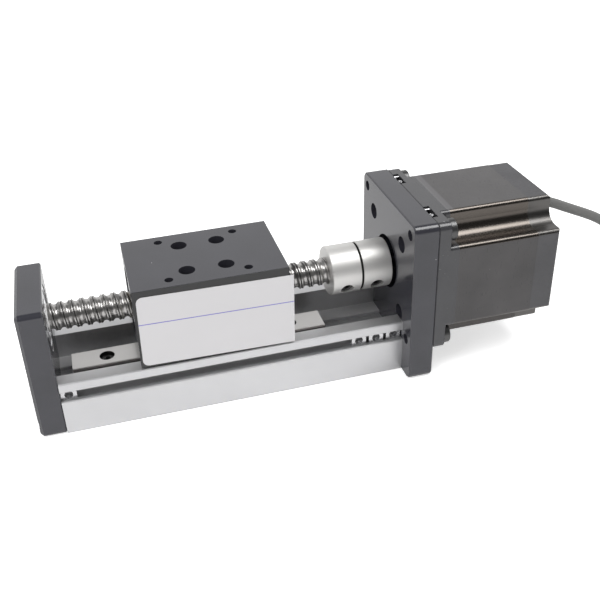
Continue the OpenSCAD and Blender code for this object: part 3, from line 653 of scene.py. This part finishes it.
# %% Sizes of the thread
SCREW_R = 5.5 * MM
LEAD = 4 * MM
GROOVE_R = 1.35 * MM
GROOVE_DEPTH = 0.9 * MM
GROOVE_SHIFT = -1.2 * MM
CREASE_DEPTH = 0.35 * MM
CREASE_HALF = 0.3 * MM
ROWS_PER_TURN = 36
RAYS = 64
END_GAP = 0.2 * MM
END_BAND = 0.05 * MM
MERGE = 0.004 * MM
thread_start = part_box("end_bearing_inner")[1][0]
thread_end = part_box("coupling")[0][0] - END_GAP
thread_turns = math.ceil((thread_end - thread_start) / LEAD) + 2
print("thread:", round((thread_end - thread_start) / MM, 1), "mm, turns:", thread_turns)


# %% Helpers for geometry nodes
def geometry_tree(name, inputs):
    """An empty geometry tree with named float inputs."""
    tree = bpy.data.node_groups.new(name, "GeometryNodeTree")
    tree.interface.new_socket("Geometry", in_out="INPUT", socket_type="NodeSocketGeometry")
    for label in inputs:
        tree.interface.new_socket(label, in_out="INPUT", socket_type="NodeSocketFloat")
    tree.interface.new_socket("Geometry", in_out="OUTPUT", socket_type="NodeSocketGeometry")
    return tree, tree.nodes.new("NodeGroupInput"), tree.nodes.new("NodeGroupOutput")


def run_tree(name, tree, values):
    """Runs a geometry tree on an empty mesh with these input values, and keeps the result as a mesh."""
    holder = bpy.data.objects.new(name + "_holder", bpy.data.meshes.new(name + "_holder"))
    bpy.context.scene.collection.objects.link(holder)
    modifier = holder.modifiers.new(name, "NODES")
    modifier.node_group = tree
    for item in tree.interface.items_tree:
        if item.in_out == "INPUT" and item.name in values:
            modifier[item.identifier] = values[item.name]
    view = bpy.context.evaluated_depsgraph_get()
    mesh = bpy.data.meshes.new_from_object(holder.evaluated_get(view))
    holder.modifiers.remove(modifier)
    bpy.data.objects.remove(holder)
    mesh.name = name
    piece = bpy.data.objects.new(name, mesh)
    bpy.context.scene.collection.objects.link(piece)
    return piece


# %% The tree that winds the groove
def build_thread_tree():
    """Winds a grid into a threaded bar along X about the line y = 0, z = Axis height."""
    names = ["Start", "End", "Lead", "Shift", "Crest radius", "Groove radius", "Groove depth",
             "Crease depth", "Crease half", "Axis height"]
    tree, source, result = geometry_tree("thread_winder", names)
    calc = calculator(tree)
    value = source.outputs
    rows = thread_turns * ROWS_PER_TURN + 1
    grid = add_node(tree, "GeometryNodeMeshGrid", {
        "Size X": 1.0, "Size Y": 1.0, "Vertices X": rows, "Vertices Y": RAYS + 1})
    position = tree.nodes.new("GeometryNodeInputPosition").outputs[0]
    place = add_node(tree, "ShaderNodeSeparateXYZ", {0: position}).outputs
    run = calc("ADD", place["X"], 0.5)
    around = calc("ADD", place["Y"], 0.5)
    turns_run = calc("SUBTRACT", calc("MULTIPLY", run, float(thread_turns)), 1.0)
    along = calc("MULTIPLY", turns_run, value["Lead"])
    forward = calc("MULTIPLY", around, value["Lead"])
    x = calc("ADD", along, forward, calc("ADD", value["Start"], value["Shift"]))
    # distance from the middle of the nearest groove, along the axis
    turns = calc("DIVIDE", along, value["Lead"])
    off_groove = calc("ABSOLUTE", calc("SUBTRACT", turns, calc("ROUND", turns)))
    offset = calc("MULTIPLY", off_groove, value["Lead"])
    inside = calc("SUBTRACT", calc("POWER", value["Groove radius"], 2.0), calc("POWER", offset, 2.0))
    arc = calc("SQRT", calc("MAXIMUM", inside, 0.0))
    hidden = calc("SUBTRACT", value["Groove radius"], value["Groove depth"])
    groove = calc("MAXIMUM", calc("SUBTRACT", arc, hidden), 0.0)
    # the small crease in the middle of the land between two grooves
    from_land = calc("SUBTRACT", calc("MULTIPLY", value["Lead"], 0.5), offset)
    share = calc("SUBTRACT", 1.0, calc("DIVIDE", from_land, value["Crease half"]))
    in_crease = calc("MAXIMUM", share, 0.0)
    cut = calc("ADD", groove, calc("MULTIPLY", in_crease, value["Crease depth"]))
    # rows past an end lie on that end's circle
    before = calc("LESS_THAN", x, calc("ADD", value["Start"], END_BAND))
    after = calc("GREATER_THAN", x, calc("SUBTRACT", value["End"], END_BAND))
    is_thread = calc("SUBTRACT", 1.0, calc("MAXIMUM", before, after))
    radius = calc("SUBTRACT", value["Crest radius"], calc("MULTIPLY", cut, is_thread))
    clipped = calc("MAXIMUM", calc("MINIMUM", x, value["End"]), value["Start"])
    snapped_low = calc("MULTIPLY", before, calc("SUBTRACT", value["Start"], clipped))
    snapped_high = calc("MULTIPLY", after, calc("SUBTRACT", value["End"], clipped))
    end_x = calc("ADD", clipped, snapped_low, snapped_high)
    angle = calc("MULTIPLY", around, 2 * math.pi)
    y = calc("MULTIPLY", calc("COSINE", angle), radius)
    z = calc("ADD", calc("MULTIPLY", calc("SINE", angle), radius), value["Axis height"])
    spot = add_node(tree, "ShaderNodeCombineXYZ", {0: end_x, 1: y, 2: z})
    # the crease is remembered on the flat grid, so that the finish can paint shade there
    marked = add_node(tree, "GeometryNodeStoreNamedAttribute", {
        "Geometry": grid.outputs["Mesh"], "Name": "crease", "Value": in_crease},
        data_type="FLOAT", domain="POINT")
    wound = add_node(tree, "GeometryNodeSetPosition", {
        "Geometry": marked.outputs[0], "Position": spot.outputs[0]})
    merged = add_node(tree, "GeometryNodeMergeByDistance", {
        "Geometry": wound.outputs[0], "Distance": MERGE})
    smooth = add_node(tree, "GeometryNodeSetShadeSmooth", {"Geometry": merged.outputs[0]})
    coat = add_node(tree, "GeometryNodeSetMaterial", {
        "Geometry": smooth.outputs[0], "Material": FINISHES["screw_steel"]})
    whole = add_node(tree, "GeometryNodeRealizeInstances", {"Geometry": coat.outputs[0]})
    tree.links.new(whole.outputs[0], result.inputs[0])
    return tree


thread = run_tree("screw_thread", build_thread_tree(), {
    "Start": thread_start, "End": thread_end, "Lead": LEAD, "Shift": GROOVE_SHIFT,
    "Crest radius": SCREW_R, "Groove radius": GROOVE_R, "Groove depth": GROOVE_DEPTH,
    "Crease depth": CREASE_DEPTH, "Crease half": CREASE_HALF, "Axis height": AXIS_Z})
print("thread faces:", len(thread.data.polygons))

# %% [markdown]
# The ends of the screw are plain turned journals. An outline turned about the axis makes each. The
# thread's own two ends are closed with flat faces, so that every shell is a closed solid.


# %% Turned pieces
def turned_mesh(outline, steps=72):
    """A closed mesh of an outline of (x, radius) points turned about the screw's axis.

    The outline starts and ends at radius 0.
    """
    mesh = bmesh.new()
    rings = []
    for x, radius in outline:
        if radius == 0:
            rings.append([mesh.verts.new((x, 0, AXIS_Z))])
            continue
        angles = [2 * math.pi * step / steps for step in range(steps)]
        circle = [(x, radius * math.cos(a), AXIS_Z + radius * math.sin(a)) for a in angles]
        rings.append([mesh.verts.new(point) for point in circle])
    for low, high in zip(rings, rings[1:]):
        for step in range(steps):
            after = (step + 1) % steps
            corners = [low[step % len(low)], low[after % len(low)],
                       high[after % len(high)], high[step % len(high)]]
            unique = list(dict.fromkeys(corners))
            if len(unique) > 2:
                mesh.faces.new(unique)
    bmesh.ops.recalc_face_normals(mesh, faces=mesh.faces)
    return mesh


def join_parts(piece, parts):
    """Adds bmesh parts to a piece as separate closed shells."""
    whole = bmesh.new()
    whole.from_mesh(piece.data)
    for part in parts:
        spare = bpy.data.meshes.new("spare")
        part.to_mesh(spare)
        whole.from_mesh(spare)
        bpy.data.meshes.remove(spare)
        part.free()
    whole.to_mesh(piece.data)
    whole.free()


# %% Close the thread
def close_ends(piece):
    """Fills any open ends of a piece, turns every face outwards, and counts the edges left open."""
    mesh = bmesh.new()
    mesh.from_mesh(piece.data)
    open_edges = [edge for edge in mesh.edges if edge.is_boundary]
    bmesh.ops.holes_fill(mesh, edges=open_edges, sides=0)
    bmesh.ops.recalc_face_normals(mesh, faces=mesh.faces)
    mesh.to_mesh(piece.data)
    left_open = sum(edge.is_boundary for edge in mesh.edges)
    mesh.free()
    return left_open


print("open edges left on the thread:", close_ends(thread))

# %% The journals
JOURNAL_R = 5 * MM
DRIVE_R = 4 * MM
CHAMFER = 0.4 * MM
RING_WIDTH = 1 * MM
RING_DEPTH = 0.3 * MM
ROOTED = 0.5 * MM
screw_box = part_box("ball_screw")
bearing_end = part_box("end_bearing_inner")[0][0]
screw_start, screw_end = screw_box[0][0], screw_box[1][0]
ring_start = bearing_end - RING_WIDTH
journal = [
    (screw_start, 0), (screw_start, JOURNAL_R - CHAMFER), (screw_start + CHAMFER, JOURNAL_R),
    (ring_start, JOURNAL_R), (ring_start, JOURNAL_R - RING_DEPTH),
    (bearing_end, JOURNAL_R - RING_DEPTH), (bearing_end, JOURNAL_R),
    (thread_start + ROOTED, JOURNAL_R), (thread_start + ROOTED, 0),
]
drive_end = [(thread_end - ROOTED, 0), (thread_end - ROOTED, DRIVE_R), (screw_end, DRIVE_R), (screw_end, 0)]
join_parts(thread, [turned_mesh(journal), turned_mesh(drive_end)])
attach(thread, "screw_line")
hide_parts("ball_screw")
print("faces of the whole screw:", len(thread.data.polygons))

# %% [markdown]
# ## Fittings in the flange's windows
# Two windows in the top edge of the motor's flange show what lies inside: a ring on a shank, and a
# bright pin across. One small set, placed on two points by Geometry Nodes, fills both windows.

# %% Window fittings
WINDOW_Y = 16.1 * MM
WINDOW_W = 2.3 * MM
WINDOW_DEPTH = 3.5 * MM
RING_Y = -1.0 * MM
RING_DOWN = -0.28
SHANK_DOWN = -0.67
SHANK_SHARE = 0.66
PIN_Y = 3.3 * MM
PIN_DOWN = -1.5
RING_R = 0.78 * MM
WIRE_R = 0.26 * MM
PIN_R = 0.5 * MM
RING_SIDES = 24
WIRE_SIDES = 10
PIN_SIDES = 20
flange_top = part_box("motor_front_bell")[1][2]
window_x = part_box("motor_plate")[1][0] + WINDOW_W / 2


def build_window_tree():
    """A ring on a shank and a pin across the window, at both windows."""
    names = ["Middle x", "Top z", "Apart", "Width", "Depth", "Ring radius", "Wire radius", "Pin radius"]
    tree, source, result = geometry_tree("window_fittings", names)
    calc = calculator(tree)
    value = source.outputs

    def moved(mesh, y, z, **turned):
        """A mesh moved sideways and down from the middle of a window's top."""
        place = add_node(tree, "ShaderNodeCombineXYZ", {1: y, 2: z})
        inputs = {"Geometry": mesh, "Translation": place.outputs[0], **turned}
        return add_node(tree, "GeometryNodeTransform", inputs).outputs[0]

    first = add_node(tree, "ShaderNodeCombineXYZ", {
        0: value["Middle x"], 1: calc("MULTIPLY", value["Apart"], -0.5), 2: value["Top z"]})
    step = add_node(tree, "ShaderNodeCombineXYZ", {1: value["Apart"]})
    spots = add_node(tree, "GeometryNodeMeshLine", {
        "Count": 2, "Start Location": first.outputs[0], "Offset": step.outputs[0]})
    path = add_node(tree, "GeometryNodeCurvePrimitiveCircle", {
        "Resolution": RING_SIDES, "Radius": value["Ring radius"]})
    wire = add_node(tree, "GeometryNodeCurvePrimitiveCircle", {
        "Resolution": WIRE_SIDES, "Radius": value["Wire radius"]})
    ring = add_node(tree, "GeometryNodeCurveToMesh", {
        "Curve": path.outputs["Curve"], "Profile Curve": wire.outputs["Curve"]})
    shank_length = calc("MULTIPLY", value["Depth"], SHANK_SHARE)
    shank = add_node(tree, "GeometryNodeMeshCylinder", {
        "Vertices": RING_SIDES, "Radius": value["Ring radius"], "Depth": shank_length})
    pin = add_node(tree, "GeometryNodeMeshCylinder", {
        "Vertices": PIN_SIDES, "Radius": value["Pin radius"], "Depth": value["Width"]})
    placed = [
        moved(ring.outputs[0], RING_Y, calc("MULTIPLY", value["Depth"], RING_DOWN)),
        moved(shank.outputs["Mesh"], RING_Y, calc("MULTIPLY", value["Depth"], SHANK_DOWN)),
        moved(pin.outputs["Mesh"], PIN_Y, calc("MULTIPLY", value["Pin radius"], PIN_DOWN),
              Rotation=(0.0, math.pi / 2, 0.0)),
    ]
    both = tree.nodes.new("GeometryNodeJoinGeometry")
    for part in placed:
        tree.links.new(part, both.inputs[0])
    copies = add_node(tree, "GeometryNodeInstanceOnPoints", {
        "Points": spots.outputs[0], "Instance": both.outputs[0]})
    whole = add_node(tree, "GeometryNodeRealizeInstances", {"Geometry": copies.outputs[0]})
    coat = add_node(tree, "GeometryNodeSetMaterial", {
        "Geometry": whole.outputs[0], "Material": FINISHES["zinc_steel"]})
    tree.links.new(coat.outputs[0], result.inputs[0])
    return tree


fittings = run_tree("window_fittings", build_window_tree(), {
    "Middle x": window_x, "Top z": flange_top, "Apart": 2 * WINDOW_Y, "Width": WINDOW_W,
    "Depth": WINDOW_DEPTH, "Ring radius": RING_R, "Wire radius": WIRE_R, "Pin radius": PIN_R})
print("open edges left on the fittings:", close_ends(fittings), "faces:", len(fittings.data.polygons))
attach(fittings, "module_frame")

# %% [markdown]
# ## Floor, sky and lamps
# A pale floor under soft light from all sides keeps a small shadow where the parts stand. The sky is
# white for the camera and a calmer grey for the light that it gives. Metal mirrors a studio: white
# behind, and dim in front and overhead. A fade is where a change starts and over how much it runs.


# %% Levels of light
FLOOR_HALF = 6.0
FLOOR_Z = -0.05 * MM
FLOOR_COLOUR = (0.92, 0.92, 0.92, 1)
FLOOR_ROUGH = 0.9
FLOOR_NEAR = 0.6
FLOOR_FADE = (0.4, 0.5)
FLOOR_MIRRORED = 0.1
SKY_LEVEL = 0.45
FRONT_LEVEL = 0.08
FRONT_FADE = (-0.05, 0.3)
OVERHEAD_FADE = (0.62, 0.2)


# %% Floor
def mirrored(tree, path):
    """One for the rays that gloss and glass send, otherwise zero."""
    return calculator(tree)("MAXIMUM", path["Is Glossy Ray"], path["Is Transmission Ray"])


def build_floor():
    """A wide pale floor that brightens to white for the camera, far away from the object."""
    mesh = bpy.data.meshes.new("floor")
    signs = [(-1, -1), (1, -1), (1, 1), (-1, 1)]
    mesh.from_pydata([(x * FLOOR_HALF, y * FLOOR_HALF, FLOOR_Z) for x, y in signs], [], [(0, 1, 2, 3)])
    floor = bpy.data.objects.new("floor", mesh)
    bpy.context.scene.collection.objects.link(floor)
    material = bpy.data.materials.new("floor")
    material.use_nodes = True
    tree = material.node_tree
    calc = calculator(tree)
    shader = tree.nodes["Principled BSDF"]
    shader.inputs["Base Color"].default_value = FLOOR_COLOUR
    shader.inputs["Roughness"].default_value = FLOOR_ROUGH
    shader.inputs["Emission Strength"].default_value = 1.0
    path = tree.nodes.new("ShaderNodeLightPath").outputs
    away = add_node(tree, "ShaderNodeVectorMath", {0: object_place(tree)}, operation="LENGTH")
    far = clamped(tree, away.outputs["Value"], *FLOOR_FADE)
    white = calc("ADD", calc("MULTIPLY", far, 1 - FLOOR_NEAR), FLOOR_NEAR)
    seen = calc("MULTIPLY", path["Is Camera Ray"], white)
    glow = calc("ADD", seen, calc("MULTIPLY", mirrored(tree, path), FLOOR_MIRRORED))
    tree.links.new(glow, shader.inputs["Emission Color"])
    floor.data.materials.append(material)


build_floor()


# %% Sky
def build_sky():
    """White behind; for reflections, a dim room in front and overhead, as a studio has."""
    world = bpy.data.worlds.new("studio")
    bpy.context.scene.world = world
    world.use_nodes = True
    tree = world.node_tree
    calc = calculator(tree)
    generated = tree.nodes.new("ShaderNodeTexCoord").outputs["Generated"]
    way = add_node(tree, "ShaderNodeSeparateXYZ", {0: generated}).outputs
    in_front = clamped(tree, calc("MULTIPLY", way["Y"], -1.0), *FRONT_FADE)
    overhead = clamped(tree, way["Z"], *OVERHEAD_FADE)
    path = tree.nodes.new("ShaderNodeLightPath").outputs
    dimmed = calc("MULTIPLY", calc("MAXIMUM", in_front, overhead), path["Is Glossy Ray"], 1 - FRONT_LEVEL)
    seen = calc("MAXIMUM", path["Is Camera Ray"], mirrored(tree, path))
    level = calc("ADD", calc("MULTIPLY", seen, 1 - SKY_LEVEL), SKY_LEVEL)
    background = tree.nodes["Background"]
    background.inputs["Color"].default_value = (1, 1, 1, 1)
    tree.links.new(calc("SUBTRACT", level, dimmed), background.inputs["Strength"])


build_sky()


# %% Lamps
def soft_lamp(name, place, aim, size, power):
    """A square soft lamp at a place in metres, turned towards a point."""
    data = bpy.data.lights.new(name, "AREA")
    data.size = size
    data.energy = power
    lamp = bpy.data.objects.new(name, data)
    lamp.location = place
    lamp.rotation_euler = (Vector(aim) - Vector(place)).to_track_quat("-Z", "Y").to_euler()
    bpy.context.scene.collection.objects.link(lamp)


LAMP_AIM = (0.03, 0, 0.03)
soft_lamp("lamp_above", (0.38, -0.18, 0.9), LAMP_AIM, size=0.48, power=5)
soft_lamp("lamp_left", (-0.55, -0.4, 0.7), LAMP_AIM, size=0.4, power=4)
bpy.context.scene.view_settings.view_transform = "Standard"
